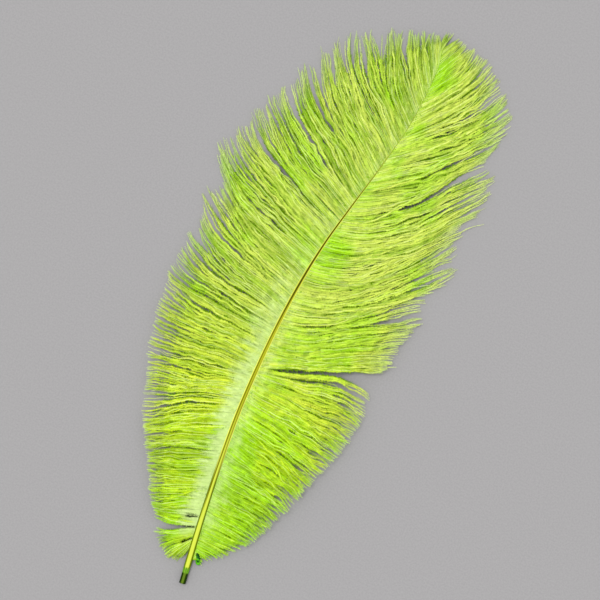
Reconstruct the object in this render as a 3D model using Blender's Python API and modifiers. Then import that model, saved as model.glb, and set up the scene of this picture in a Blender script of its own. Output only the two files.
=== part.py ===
"""A dyed ostrich feather that lies on a flat surface.

It is one grown piece: a horny shaft that thins from the cut quill to a hair at the tip, with a vane of
soft locks fused along each side of it and a small stub beside the quill.

The plan is drawn in millimetres, seen from above: y runs up the feather from the cut end of the quill, and
x runs to the right of it. Heights are above the surface that the feather lies on.
"""

from collections import namedtuple

import bmesh
import bpy
import numpy as np

MM = 0.001  # metres in a millimetre

# ---------------------------------------------------------------- driving dimensions, in millimetres

Station = namedtuple("Station", "y x height radius")
SHAFT = (
    Station(0, -0.9, 2.2, 2.2),
    Station(10, -2.4, 2.4, 2.15),
    Station(30, -5.4, 3.8, 2.05),
    Station(50, -8.2, 6.0, 1.9),
    Station(80, -11.8, 9.0, 1.75),
    Station(110, -14.6, 11.2, 1.65),
    Station(140, -15.8, 12.6, 1.55),
    Station(170, -15.8, 12.8, 1.45),
    Station(200, -14.5, 12.0, 1.25),
    Station(230, -11.2, 10.6, 0.95),
    Station(260, -5.6, 9.2, 0.7),
    Station(290, 0.5, 7.8, 0.6),
    Station(320, 5.6, 6.4, 0.6),
    Station(345, 7.0, 5.2, 0.55),
    Station(365, 6.0, 3.6, 0.5),
    Station(377, 3.0, 2.2, 0.45),
)
SHAFT_STEP = 9.0  # between the rings of the shaft's tube
SHAFT_SINK = 0.4  # the vanes leave the shaft this far from its middle line

Stub = namedtuple("Stub", "x y height radius")
STUB = (
    Stub(-3.4, 24.6, 3.0, 0.9),
    Stub(-1.4, 22.2, 2.4, 1.1),
    Stub(1.0, 19.2, 2.3, 1.5),
    Stub(2.4, 16.8, 2.2, 1.7),
    Stub(2.9, 14.4, 1.7, 1.5),
)

# Each lock has the place on the shaft that its middle grows from, its tip, and how far the gap on its far
# side (towards the feather's tip) cuts into the vane.
Lock = namedtuple("Lock", "root tip_x tip_y gap")
LEFT_LOCKS = (
    Lock(25, -10, 13.2, 6),
    Lock(28.5, -16.5, 12.8, 6),
    Lock(31.5, -23, 16.5, 6),
    Lock(33.5, -28.5, 22.8, 40),
    Lock(37, -32.5, 29.3, 5),
    Lock(46, -36.5, 36.5, 5),
    Lock(58, -43.5, 46, 5),
    Lock(74, -50, 58, 6),
    Lock(88, -57, 69, 6),
    Lock(104, -63, 79, 5),
    Lock(115, -69, 89, 6),
    Lock(122, -73, 101, 6),
    Lock(129, -77, 113, 6),
    Lock(136, -83, 126, 7),
    Lock(143, -85, 139, 7),
    Lock(150, -88, 151, 6),
    Lock(158, -89, 163, 7),
    Lock(167, -92, 176, 10),
    Lock(173, -91, 189, 12),
    Lock(179, -90, 203, 18),
    Lock(185, -87.5, 211, 25),
    Lock(194, -95, 229, 24),
    Lock(203, -90.5, 237.5, 20),
    Lock(213, -94.5, 252, 16),
    Lock(223, -97.5, 262, 20),
    Lock(235, -91, 277, 16),
    Lock(244, -87, 288, 18),
    Lock(253, -82, 300, 16),
    Lock(261, -77, 311, 16),
    Lock(271, -69.6, 328.4, 24),
    Lock(281, -62.6, 338.6, 16),
    Lock(291, -59, 348, 26),
    Lock(301, -52, 358, 16),
    Lock(312, -41, 364, 14),
    Lock(322, -31, 370, 12),
    Lock(333, -21, 373, 11),
    Lock(344, -12, 378, 10),
    Lock(356, -4, 381, 8),
    Lock(364, 3, 384, 0),
)
RIGHT_LOCKS = (
    Lock(22, 5, 20, 4),
    Lock(27, 14, 26, 4),
    Lock(35, 21, 34, 4),
    Lock(46, 26, 43, 4),
    Lock(56, 31, 52, 4),
    Lock(69, 34, 62, 5),
    Lock(80, 38, 72, 4),
    Lock(93, 41, 83, 5),
    Lock(105, 45, 94, 5),
    Lock(116, 49, 105, 5),
    Lock(123, 52, 116, 5),
    Lock(130, 55, 127, 6),
    Lock(135.5, 56, 138, 6),
    Lock(139, 56, 148, 7),
    Lock(142.5, 54, 158, 32),
    Lock(145, 57, 176.5, 8),
    Lock(150, 57, 181, 7),
    Lock(156, 58, 190, 7),
    Lock(163, 63, 202, 14),
    Lock(170, 66, 214, 18),
    Lock(177, 61, 226, 20),
    Lock(183, 67, 238, 14),
    Lock(189, 72, 250, 16),
    Lock(199, 67, 262, 18),
    Lock(211, 63, 275, 18),
    Lock(223, 68, 289, 14),
    Lock(235, 70, 303, 16),
    Lock(247, 67, 315, 29),
    Lock(259, 57, 323, 12),
    Lock(268, 61, 333, 12),
    Lock(277, 62, 343, 14),
    Lock(288, 61, 353.5, 12),
    Lock(301, 53.5, 362.5, 11),
    Lock(314, 43.5, 370.5, 10),
    Lock(328, 34, 378, 9),
    Lock(346, 23, 381, 6),
    Lock(366, 13, 383, 0),
)

# The angle at which the locks leave the shaft, in degrees above straight out, at heights up the feather, and
# then the angle at which they end.
Lean = namedtuple("Lean", "y degrees")
LEFT_LEANS = (
    Lean(25, -72),
    Lean(30, -55),
    Lean(33.5, -28),
    Lean(37, -14),
    Lean(50, -14),
    Lean(70, -15),
    Lean(95, -22),
    Lean(115, -15),
    Lean(132, -6),
    Lean(150, 4),
    Lean(167, 8),
    Lean(185, 18),
    Lean(235, 21),
    Lean(261, 27),
    Lean(281, 36),
    Lean(301, 42),
    Lean(320, 38),
    Lean(333, 40),
    Lean(345, 51),
    Lean(356, 61),
    Lean(377, 78),
)
RIGHT_LEANS = (
    Lean(20, -24),
    Lean(27, 0),
    Lean(37, 2),
    Lean(50, -7),
    Lean(80, -12),
    Lean(105, -11),
    Lean(125, -8),
    Lean(138, 4),
    Lean(143.6, 10),
    Lean(143.9, 25),
    Lean(149, 16),
    Lean(155, 8),
    Lean(190, 3),
    Lean(223, 5),
    Lean(245, 12),
    Lean(270, 28),
    Lean(290, 40),
    Lean(320, 44),
    Lean(345, 54),
    Lean(377, 74),
)
LEFT_ENDS = (
    Lean(25, -72),
    Lean(31, -62),
    Lean(33.5, -12),
    Lean(37, -8),
    Lean(58, -16),
    Lean(80, -28),
    Lean(104, -30),
    Lean(122, -20),
    Lean(143, -2),
    Lean(160, 18),
    Lean(179, 43),
    Lean(203, 48),
    Lean(235, 50),
    Lean(261, 54),
    Lean(291, 57),
    Lean(312, 62),
    Lean(333, 68),
    Lean(356, 86),
    Lean(377, 92),
)
RIGHT_ENDS = (
    Lean(20, -40),
    Lean(27, -12),
    Lean(37, -4),
    Lean(56, -12),
    Lean(80, -18),
    Lean(105, -16),
    Lean(124, -8),
    Lean(143.6, 0),
    Lean(143.9, 26),
    Lean(170, 28),
    Lean(180, 33),
    Lean(189, 42),
    Lean(199, 50),
    Lean(211, 54),
    Lean(247, 57),
    Lean(277, 60),
    Lean(301, 66),
    Lean(328, 74),
    Lean(377, 80),
)
LEAVE_REACH = 0.36  # the share of a lock's length over which the angle that it leaves at bends it
ARRIVE_REACH = 0.33  # and the angle that it ends at

# The height of the locks' ends above the surface: the upper half lies on it.
Lift = namedtuple("Lift", "y height")
LEFT_LIFTS = (Lift(20, 0), Lift(45, 2.5), Lift(110, 4.0), Lift(160, 2.0), Lift(190, 0), Lift(377, 0))
RIGHT_LIFTS = (
    Lift(17, 2.0), Lift(30, 2.5), Lift(45, 4.0), Lift(100, 6.5), Lift(150, 4.0),
    Lift(190, 0), Lift(377, 0),
)
DROOP_END = 0.80  # from here to its tip a lock lies level
DROOP_POWER = 1.4  # a lock stays high near the shaft and then sinks

VANE_THICKNESS = 3.0  # at the thickest place of a lock
# Shares of that thickness, from the shaft to the tip of a lock
RIDGE_SHARES = ((0.0, 0.35), (0.15, 0.75), (0.45, 1.0), (0.85, 0.75), (1.0, 0.25))
BORDER_SHARES = ((0.0, 0.35), (0.15, 0.50), (0.6, 0.40), (1.0, 0.25))

JOINED_ROWS = 6  # quads along a lock where it is joined to its neighbours
FREE_ROWS = 3  # and from there to its tip
LEAST_JOINED = 0.1  # the share of a border that is joined even at the deepest gap
OUTER_GAP = 0.5  # the share of a vane's first and last border that is free
LAST_ROOT = 371.0  # the last border leaves the shaft no higher than this
TIP_TAPER = 1.6  # how late the free end of a lock draws to its point
RIDGE_SAMPLES = 96  # places tried along a ridge to find the one beside a point
RIDGE_END = 0.95  # the last of those places, as a share of the ridge

TUBE_ROUNDNESS = 2  # the shaft and the stub have 4 more corners for each step of this, from 4 corners on
WELD = 0.01  # points of a tube closer than this are one

LIME = (0.38, 0.72, 0.05, 1.0)
LIME_ROUGHNESS = 0.7

# ---------------------------------------------------------------- the plan

TIPS = np.array([(lock.tip_x, lock.tip_y) for lock in LEFT_LOCKS + RIGHT_LOCKS], float)
CENTRE_X = (TIPS[:, 0].min() + TIPS[:, 0].max()) / 2
CENTRE_Y = (SHAFT[0].y + TIPS[:, 1].max()) / 2


def to_part(points):
    """Millimetres in the plan as metres in the part, whose origin is on the surface under its middle."""
    return (np.asarray(points, float) - (CENTRE_X, CENTRE_Y, 0)) * MM


def smooth(stations, ys):
    """Each column of a table after the first, as a smooth curve of cubics through its rows, read at ys."""
    table = np.array(stations, float)
    knots, values = table[:, 0], table[:, 1:]
    slopes = np.gradient(values, knots, axis=0)
    ys = np.clip(np.atleast_1d(ys), knots[0], knots[-1])
    left = np.clip(np.searchsorted(knots, ys, side="right") - 1, 0, len(knots) - 2)
    span = (knots[left + 1] - knots[left])[:, None]
    t = (ys[:, None] - knots[left][:, None]) / span
    start = (2 * t**3 - 3 * t**2 + 1) * values[left] + (t**3 - 2 * t**2 + t) * span * slopes[left]
    end = (3 * t**2 - 2 * t**3) * values[left + 1] + (t**3 - t**2) * span * slopes[left + 1]
    return start + end


def shaft_at(y):
    """Middle of the shaft at a height up the feather, as x, y and height."""
    x, height, _ = smooth(SHAFT, y)[0]
    return np.array((x, y, height))


def straight(table, at):
    """A value read from a table with straight lines between its rows."""
    rows = np.array(table, float)
    return float(np.interp(at, rows[:, 0], rows[:, 1]))


# ---------------------------------------------------------------- the vanes


class Vane:
    """The open comb-like surface of one side: its locks are joined near the shaft and free at their ends."""

    def __init__(self, side, locks, leans, ends, lifts):
        self.side = side
        self.locks = locks
        self.leans = leans
        self.ends = ends
        self.lifts = lifts
        self.points = []
        self.shares = []
        self.faces = []

    def add(self, point, share):
        """Keeps a point with its share of the thickness, and returns its number."""
        self.points.append(point)
        self.shares.append(share)
        return len(self.points) - 1

    def root(self, y):
        """Where a line of the vane leaves the shaft."""
        return shaft_at(y) + (self.side * SHAFT_SINK, 0, 0)

    def heading(self, degrees):
        """A level direction at an angle above straight out."""
        turn = np.radians(degrees)
        return np.array((self.side * np.cos(turn), np.sin(turn)))

    def along(self, root, tip, ts):
        """Points on the cubic from a root to a tip. It leaves at the lean and arrives at the end angle."""
        start = root[:2]
        length = np.linalg.norm(tip - start)
        near = start + LEAVE_REACH * length * self.heading(straight(self.leans, root[1]))
        far = tip - ARRIVE_REACH * length * self.heading(straight(self.ends, root[1]))
        t = np.asarray(ts, float)[:, None]
        plan = (1 - t) ** 3 * start + 3 * t * (1 - t) ** 2 * near + 3 * t**2 * (1 - t) * far + t**3 * tip
        lift = straight(self.lifts, root[1])
        droop = 1 - np.clip(t / DROOP_END, 0, 1) ** DROOP_POWER
        return np.hstack([plan, lift + (root[2] - lift) * droop])

    def borders(self):
        """The lines between the locks. Each leaves the shaft at a root, heads between two tips, and is joined
        on both sides for a share of its way, up to where the gap starts.
        """
        roots = [lock.root for lock in self.locks]
        first = roots[0] - (roots[1] - roots[0]) / 2
        between = [(low + high) / 2 for low, high in zip(roots, roots[1:])]
        last = min(roots[-1] + (roots[-1] - roots[-2]) / 2, LAST_ROOT)
        lines = []
        for number, y in enumerate([first, *between, last]):
            near = self.locks[max(number - 1, 0)]
            far = self.locks[min(number, len(self.locks) - 1)]
            root = self.root(y)
            heads_for = np.array((near.tip_x + far.tip_x, near.tip_y + far.tip_y)) / 2
            length = np.linalg.norm(heads_for - root[:2])
            gap = near.gap if near is not far else OUTER_GAP * length
            lines.append((root, heads_for, max(1 - gap / length, LEAST_JOINED)))
        return lines

    def build(self):
        """Lays out every lock between its two borders."""
        joined, starts = [], []
        for root, heads_for, share in self.borders():
            ts = np.linspace(0, share, JOINED_ROWS + 1)
            points = self.along(root, heads_for, ts)
            joined.append([self.add(p, straight(BORDER_SHARES, t)) for p, t in zip(points, ts)])
            starts.append(points[-1, :2])
        for number, lock in enumerate(self.locks):
            self.add_lock(lock, joined[number : number + 2], starts[number : number + 2])

    def add_lock(self, lock, joined, starts):
        """One lock: its ridge, its two free edges that draw to its tip, and the faces between them."""
        root = self.root(lock.root)
        tip = np.array((lock.tip_x, lock.tip_y), float)
        splits = [self.beside(root, tip, start) for start in starts]
        middle = sum(splits) / 2
        free = np.linspace(0, 1, FREE_ROWS + 1)[1:]
        ts = np.hstack([np.linspace(0, middle, JOINED_ROWS + 1), middle + (1 - middle) * free])
        ridge = [self.add(p, straight(RIDGE_SHARES, t)) for p, t in zip(self.along(root, tip, ts), ts)]
        edges = [self.free_edge(root, tip, start, split, free) for start, split in zip(starts, splits)]
        near = joined[0] + edges[0] + [ridge[-1]]
        far = joined[1] + edges[1] + [ridge[-1]]
        for low, high in ((near, ridge), (ridge, far)):
            self.add_faces(low, high)

    def beside(self, root, tip, point):
        """How far along a ridge, short of its tip, the place nearest to a point of the plan is."""
        ts = np.linspace(0, RIDGE_END, RIDGE_SAMPLES)
        apart = self.along(root, tip, ts)[:, :2] - point
        return ts[np.argmin(np.linalg.norm(apart, axis=1))]

    def free_edge(self, root, tip, start, split, free):
        """The edge from the start of a gap to the lock's tip: beside the ridge, and ever closer to it."""
        aside = start - self.along(root, tip, [split])[0, :2]
        numbers = []
        for s in free[:-1]:
            point = self.along(root, tip, [split + (1 - split) * s])[0]
            point[:2] += aside * (1 - s**TIP_TAPER)
            numbers.append(self.add(point, BORDER_SHARES[-1][1]))
        return numbers

    def add_faces(self, low, high):
        """Quads between two lines of points, with their upper side up. Both may end on one point."""
        for row in range(len(low) - 1):
            face = [low[row], low[row + 1], high[row + 1], high[row]]
            face = [corner for place, corner in enumerate(face) if corner not in face[:place]]
            self.faces.append(face if self.side > 0 else face[::-1])


def new_object(name, mesh, collection):
    """A named object for a mesh, in a collection."""
    obj = bpy.data.objects.new(name, mesh)
    collection.objects.link(obj)
    return obj


def build_vane(name, vane, collection):
    """A vane's surface, thickened upwards: thick along each lock's ridge and thin at its borders and tip."""
    vane.build()
    mesh = bpy.data.meshes.new(name)
    mesh.from_pydata(to_part(vane.points).tolist(), [], vane.faces)
    mesh.update()
    obj = new_object(name, mesh, collection)
    group = obj.vertex_groups.new(name="thickness")
    for number, share in enumerate(vane.shares):
        group.add([number], share, "REPLACE")
    solid = obj.modifiers.new("thickness", "SOLIDIFY")
    solid.thickness = VANE_THICKNESS * MM
    solid.offset = 1
    solid.vertex_group = group.name
    return obj


# ---------------------------------------------------------------- the shaft and the stub


def build_tube(name, points, radii, collection):
    """A round tube of changing thickness along points, as a closed mesh."""
    curve = bpy.data.curves.new(name, "CURVE")
    curve.dimensions = "3D"
    curve.bevel_depth = MM
    curve.bevel_resolution = TUBE_ROUNDNESS
    curve.use_fill_caps = True
    spline = curve.splines.new("POLY")
    spline.points.add(len(points) - 1)
    for point, place, radius in zip(spline.points, to_part(points), radii):
        point.co = (*place, 1)
        point.radius = radius
    guide = new_object(name + "_line", curve, collection)
    graph = bpy.context.evaluated_depsgraph_get()
    mesh = bpy.data.meshes.new_from_object(guide.evaluated_get(graph))
    obj = new_object(name, mesh, collection)
    obj.matrix_world = guide.matrix_world
    bpy.data.objects.remove(guide)
    bpy.data.curves.remove(curve)
    weld_caps(mesh)
    return obj


def weld_caps(mesh):
    """Joins a tube's end caps to its wall and points its faces out."""
    shape = bmesh.new()
    shape.from_mesh(mesh)
    bmesh.ops.remove_doubles(shape, verts=shape.verts, dist=WELD * MM)
    bmesh.ops.recalc_face_normals(shape, faces=shape.faces)
    shape.to_mesh(mesh)
    shape.free()


def build_shaft(name, collection):
    """The shaft from the cut quill to the tip."""
    rings = round((SHAFT[-1].y - SHAFT[0].y) / SHAFT_STEP) + 1
    ys = np.linspace(SHAFT[0].y, SHAFT[-1].y, rings)
    x, height, radius = smooth(SHAFT, ys).T
    return build_tube(name, np.column_stack([x, ys, height]), radius, collection)


def build_stub(name, collection):
    """The short stub that leaves the shaft beside the quill."""
    points = [(row.x, row.y, row.height) for row in STUB]
    return build_tube(name, points, [row.radius for row in STUB], collection)


# ---------------------------------------------------------------- the feather


def lime_material():
    """The dyed vane's colour."""
    material = bpy.data.materials.new("lime_vane")
    material.use_nodes = True
    shader = material.node_tree.nodes["Principled BSDF"]
    shader.inputs["Base Color"].default_value = LIME
    shader.inputs["Roughness"].default_value = LIME_ROUGHNESS
    shader.inputs["Metallic"].default_value = 0.0
    return material


def fuse(target, others):
    """Unites the others with the target, and leaves them as guides."""
    for other in others:
        union = target.modifiers.new(other.name, "BOOLEAN")
        union.operation = "UNION"
        union.solver = "EXACT"
        union.object = other
        other.hide_render = True
        other.display_type = "WIRE"


def main():
    """Builds the feather in an empty scene."""
    for obj in list(bpy.data.objects):
        bpy.data.objects.remove(obj)
    scene = bpy.context.scene.collection
    whole = bpy.data.collections.new("ostrich_feather")
    guides = bpy.data.collections.new("cutters")
    scene.children.link(whole)
    scene.children.link(guides)
    feather = build_shaft("feather", whole)
    left = build_vane("left_vane", Vane(-1, LEFT_LOCKS, LEFT_LEANS, LEFT_ENDS, LEFT_LIFTS), guides)
    right = build_vane("right_vane", Vane(1, RIGHT_LOCKS, RIGHT_LEANS, RIGHT_ENDS, RIGHT_LIFTS), guides)
    stub = build_stub("stub", guides)
    fuse(feather, [left, right, stub])
    feather.data.materials.append(lime_material())


main()
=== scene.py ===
"""The looks of a dyed ostrich feather that lies on a plain pale floor.

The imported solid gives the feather's size, its arch and the reach of its locks. Here it is replaced by the
horny shaft, the small stub beside the quill and the barbs of both vanes. A barb is a thin stem that leaves
the shaft, clings to its neighbours in a wisp and bends towards its lock's tip, with a soft fringe of barbules
on both sides.

The plan is in millimetres, seen from above: y runs up the feather from the cut end of the quill, and x to the
right of it. Heights are above the floor.
"""

import itertools
import logging
import math
from dataclasses import dataclass, fields, replace
from enum import Enum
from typing import NamedTuple

import bpy
import numpy as np
from numpy.typing import NDArray
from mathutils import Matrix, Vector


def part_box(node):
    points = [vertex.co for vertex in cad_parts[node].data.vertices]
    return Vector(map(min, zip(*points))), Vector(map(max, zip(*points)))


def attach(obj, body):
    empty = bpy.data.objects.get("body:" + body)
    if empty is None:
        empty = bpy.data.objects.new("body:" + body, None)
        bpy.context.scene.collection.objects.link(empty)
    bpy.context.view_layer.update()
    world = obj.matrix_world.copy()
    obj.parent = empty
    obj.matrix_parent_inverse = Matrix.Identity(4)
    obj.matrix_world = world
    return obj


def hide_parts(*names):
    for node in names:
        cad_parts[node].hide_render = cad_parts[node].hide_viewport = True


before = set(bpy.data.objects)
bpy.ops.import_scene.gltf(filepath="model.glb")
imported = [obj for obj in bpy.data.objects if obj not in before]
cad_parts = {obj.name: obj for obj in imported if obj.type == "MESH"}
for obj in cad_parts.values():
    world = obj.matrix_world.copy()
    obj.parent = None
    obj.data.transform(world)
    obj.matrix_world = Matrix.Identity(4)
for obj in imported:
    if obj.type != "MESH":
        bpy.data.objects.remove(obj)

log = logging.getLogger("ostrich_feather")

MM = 0.001  # metres in a millimetre
NODE = "feather"
BODY = "root"
BAKE_MAP = "OFBake"
STUDIO_LIGHT = 1.39  # how much more light than its own colour a level surface sends back in this studio
TINY = 1e-12  # keeps a vector without length from being divided by 0
UP = (0.0, 0.0, 1.0)

Floats = NDArray[np.float64]
Colour = tuple[float, float, float]
Span = tuple[float, float]


# ---------------------------------------------------------------- the plan, as the solid has it


class Station(NamedTuple):
    """Middle of the shaft at a height up the feather."""

    y: float
    x: float
    height: float
    radius: float


class Lock(NamedTuple):
    """A lock: where it leaves the shaft, its tip, and how deep the gap on its far side is."""

    root: float
    tip_x: float
    tip_y: float
    gap: float


class Reading(NamedTuple):
    """A value at a height up the feather."""

    y: float
    value: float


Table = tuple[Reading, ...]


def readings(*rows: Span) -> Table:
    """A table of readings from its rows."""
    return tuple(Reading(*row) for row in rows)


SHAFT_LINE = (
    Station(0, -0.9, 2.2, 2.20),
    Station(10, -2.4, 2.4, 2.15),
    Station(30, -5.4, 3.8, 2.05),
    Station(50, -8.2, 6.0, 1.90),
    Station(80, -11.8, 9.0, 1.75),
    Station(110, -14.6, 11.2, 1.65),
    Station(140, -15.8, 12.6, 1.55),
    Station(170, -15.8, 12.8, 1.45),
    Station(200, -14.5, 12.0, 1.25),
    Station(230, -11.2, 10.6, 0.95),
    Station(260, -5.6, 9.2, 0.68),
    Station(290, 0.5, 7.8, 0.46),
    Station(320, 5.6, 6.4, 0.30),
    Station(345, 7.0, 5.2, 0.22),
    Station(365, 6.0, 3.6, 0.16),
    Station(377, 3.0, 2.2, 0.10),
)
STUB_LINE = (
    Station(14.4, 2.9, 1.7, 1.5),
    Station(16.8, 2.4, 2.2, 1.7),
    Station(19.2, 1.0, 2.3, 1.5),
    Station(22.5, -1.8, 2.2, 0.9),
)
LEFT_LOCKS = tuple(
    Lock(*row)
    for row in (
        (25, -10, 13.2, 6), (28.5, -16.5, 12.8, 6), (31.5, -23, 16.5, 6), (33.5, -28.5, 22.0, 40),
        (37, -32.5, 30.4, 5), (46, -36.5, 36.5, 5), (58, -43.5, 46, 5), (74, -50, 58, 6),
        (88, -57, 69, 6), (104, -63, 79, 5), (115, -69, 89, 6), (122, -73, 101, 6),
        (129, -77, 113, 6), (136, -83, 126, 7), (143, -85, 139, 7), (150, -88, 151, 6),
        (158, -89, 163, 7), (167, -92, 176, 10), (173, -91, 189, 12), (179, -90, 203, 18),
        (185, -87.5, 211, 25), (194, -95, 229, 24), (203, -83, 236, 28), (213, -94.5, 252, 16),
        (223, -97.5, 262, 20), (235, -91, 277, 16), (244, -87, 288, 18), (253, -82, 300, 16),
        (261, -77, 311, 16), (271, -69.6, 328.4, 24), (281, -62.6, 338.6, 16), (291, -59, 348, 26),
        (301, -52, 358, 16), (312, -41, 364, 14), (322, -31, 370, 12), (333, -21, 373, 11),
        (344, -12, 378, 10), (356, -4, 381, 8), (368, 3, 384, 0),
    )
)
RIGHT_LOCKS = tuple(
    Lock(*row)
    for row in (
        (22, 5, 20, 4), (27, 14, 26, 4), (35, 21, 34, 4), (46, 26, 43, 4),
        (56, 31, 52, 4), (69, 34, 62, 5), (80, 38, 72, 4), (93, 41, 83, 5),
        (105, 45, 94, 5), (116, 49, 105, 5), (123, 52, 116, 5), (130, 55, 127, 6),
        (135.5, 56, 138, 6), (139, 56, 148, 7), (142.5, 54, 158, 32), (145, 57, 176.5, 8),
        (150, 57, 181, 7), (156, 58, 190, 7), (163, 63, 202, 14), (170, 66, 214, 18),
        (177, 61, 226, 20), (183, 67, 238, 14), (189, 72, 250, 16), (199, 67, 262, 18),
        (211, 63, 275, 18), (223, 68, 289, 14), (235, 70, 303, 16), (247, 67, 315, 29),
        (259, 57, 323, 12), (268, 61, 333, 12), (277, 62, 343, 14), (288, 61, 353.5, 12),
        (301, 53.5, 362.5, 11), (314, 43.5, 370.5, 10), (328, 34, 378, 9), (346, 23, 381, 6),
        (366, 13, 383, 0),
    )
)
# Degrees above straight out at which the barbs leave the shaft, and at which they end
LEFT_LEANS = readings(
    (25, -72), (30, -55), (33.5, -28), (37, -14), (50, -14), (70, -15), (95, -22), (115, -15), (132, -6),
    (150, 4), (167, 8), (185, 18), (235, 21), (261, 27), (281, 36), (301, 42), (320, 38), (333, 40),
    (345, 53), (356, 66), (377, 80),
)
LEFT_ENDS = readings(
    (25, -72), (31, -62), (33.5, -12), (37, -8), (58, -16), (80, -28), (104, -30), (122, -20), (143, -2),
    (160, 18), (179, 43), (203, 48), (235, 50), (261, 54), (291, 57), (312, 62), (333, 68), (356, 82),
    (377, 90),
)
RIGHT_LEANS = readings(
    (20, -24), (27, 0), (37, 2), (50, -7), (80, -12), (105, -11), (125, -8), (138, 4), (143.6, 10),
    (143.9, 25), (149, 16), (155, 8), (190, 3), (223, 5), (245, 12), (270, 28), (290, 40), (320, 44),
    (345, 54), (377, 74),
)
RIGHT_ENDS = readings(
    (20, -40), (27, -12), (37, -4), (56, -12), (80, -18), (105, -16), (124, -8), (143.6, 0), (143.9, 26),
    (170, 28), (180, 33), (189, 42), (199, 50), (211, 54), (247, 57), (277, 60), (301, 66), (328, 74),
    (377, 80),
)
# Heights of the vane's edge above the floor
LEFT_LIFTS = readings((20, 0), (45, 2.5), (110, 4.0), (160, 2.0), (190, 0), (377, 0))
RIGHT_LIFTS = readings((17, 2.0), (30, 2.5), (45, 4.0), (100, 6.5), (150, 4.0), (190, 0), (377, 0))
LEAVE_REACH = 0.36  # share of a barb's length over which the angle that it leaves at pulls it
ARRIVE_REACH = 0.33  # and the angle that it ends at
DROOP_END = 0.80  # from here to its tip a barb lies level
DROOP_POWER = 1.4


class Side(Enum):
    """The side of the shaft that a vane is on, as seen from above."""

    LEFT = -1
    RIGHT = 1


def read(table: Table, at: Floats) -> Floats:
    """Values of a table at heights up the feather, with straight lines between its rows."""
    rows = np.array(table, float)
    return np.interp(at, rows[:, 0], rows[:, 1])


def smooth(stations: tuple[Station, ...], ys: Floats) -> Floats:
    """Reads a smooth curve through a table's rows: between two rows each column is a cubic whose slopes at
    the rows are the table's own central differences.

    Args:
        stations: rows that start with y.
        ys: heights up the feather.

    Returns:
        One row for each y, with the table's other columns.
    """
    table = np.array(stations, float)
    knots, values = table[:, 0], table[:, 1:]
    slopes = np.gradient(values, knots, axis=0)
    ys = np.clip(np.atleast_1d(ys), knots[0], knots[-1])
    row = np.clip(np.searchsorted(knots, ys, side="right") - 1, 0, len(knots) - 2)
    span = (knots[row + 1] - knots[row])[:, None]
    t = (ys[:, None] - knots[row][:, None]) / span
    start = (2 * t**3 - 3 * t**2 + 1) * values[row] + (t**3 - 2 * t**2 + t) * span * slopes[row]
    end = (3 * t**2 - 2 * t**3) * values[row + 1] + (t**3 - t**2) * span * slopes[row + 1]
    return start + end


class Change(NamedTuple):
    """A value that turns softly from one into another between two places, by 3t² - 2t³ of the way."""

    first: float
    last: float
    start: float | Floats
    end: float | Floats

    def at(self, places: Floats) -> Floats:
        """Its values at places, which are heights, distances or shares as the change's own are."""
        t = np.clip((places - self.start) / (self.end - self.start), 0, 1)
        return self.first + (self.last - self.first) * t * t * (3 - 2 * t)


class Grade(NamedTuple):
    """A value that changes evenly with a share: base where that is 0, and base + more where it is 1."""

    base: float
    more: float

    def at(self, shares: Floats) -> Floats:
        """Its values."""
        return self.base + self.more * shares


@dataclass(frozen=True)
class Plan:
    """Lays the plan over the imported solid."""

    centre_x: float
    centre_y: float

    @classmethod
    def over(cls, node: str) -> "Plan":
        """The plan whose leftmost and topmost lock tips are on the solid's box."""
        low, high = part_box(node)
        tips = np.array([(lock.tip_x, lock.tip_y) for lock in LEFT_LOCKS + RIGHT_LOCKS], float)
        return cls(tips[:, 0].min() - low.x / MM, tips[:, 1].max() - high.y / MM)

    def world(self, points: Floats) -> Floats:
        """Millimetres in the plan as metres in the shared frame."""
        return (points - (self.centre_x, self.centre_y, 0.0)) * MM


# ---------------------------------------------------------------- meshes from arrays


@dataclass
class Surface:
    """A mesh as whole arrays: points in metres, triangles, places on the bake map and named values."""

    points: Floats
    triangles: NDArray[np.int64]
    places: Floats
    values: dict[str, Floats]

    def joined(self, other: "Surface") -> "Surface":
        """Both surfaces as one."""
        return Surface(
            np.vstack([self.points, other.points]),
            np.vstack([self.triangles, other.triangles + len(self.points)]),
            np.vstack([self.places, other.places]),
            {name: np.hstack([value, other.values[name]]) for name, value in self.values.items()},
        )

    def piece(self, name: str, material: bpy.types.Material) -> bpy.types.Object:
        """Makes the named object, which rides on the feather's body in place of its solid.

        Args:
            name: the piece's name.
            material: its finish.

        Returns:
            The new object, with its place in its mesh.
        """
        mesh = bpy.data.meshes.new(name)
        mesh.vertices.add(len(self.points))
        mesh.vertices.foreach_set("co", self.points.astype(np.float32).ravel())
        mesh.loops.add(self.triangles.size)
        mesh.loops.foreach_set("vertex_index", self.triangles.astype(np.int32).ravel())
        mesh.polygons.add(len(self.triangles))
        mesh.polygons.foreach_set("loop_start", np.arange(0, self.triangles.size, 3, dtype=np.int32))
        layer = mesh.uv_layers.new(name=BAKE_MAP)
        layer.uv.foreach_set("vector", self.places[self.triangles.ravel()].astype(np.float32).ravel())
        for label, value in self.values.items():
            field = mesh.attributes.new(label, "FLOAT", "POINT")
            field.data.foreach_set("value", value.astype(np.float32))
        mesh.update(calc_edges=True)
        mesh.validate()
        mesh.shade_smooth()
        mesh.materials.append(material)
        obj = bpy.data.objects.new(name, mesh)
        bpy.context.scene.collection.objects.link(obj)
        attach(obj, BODY)
        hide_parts(NODE)
        log.info("%s: %d triangles", name, len(self.triangles))
        return obj


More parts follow.
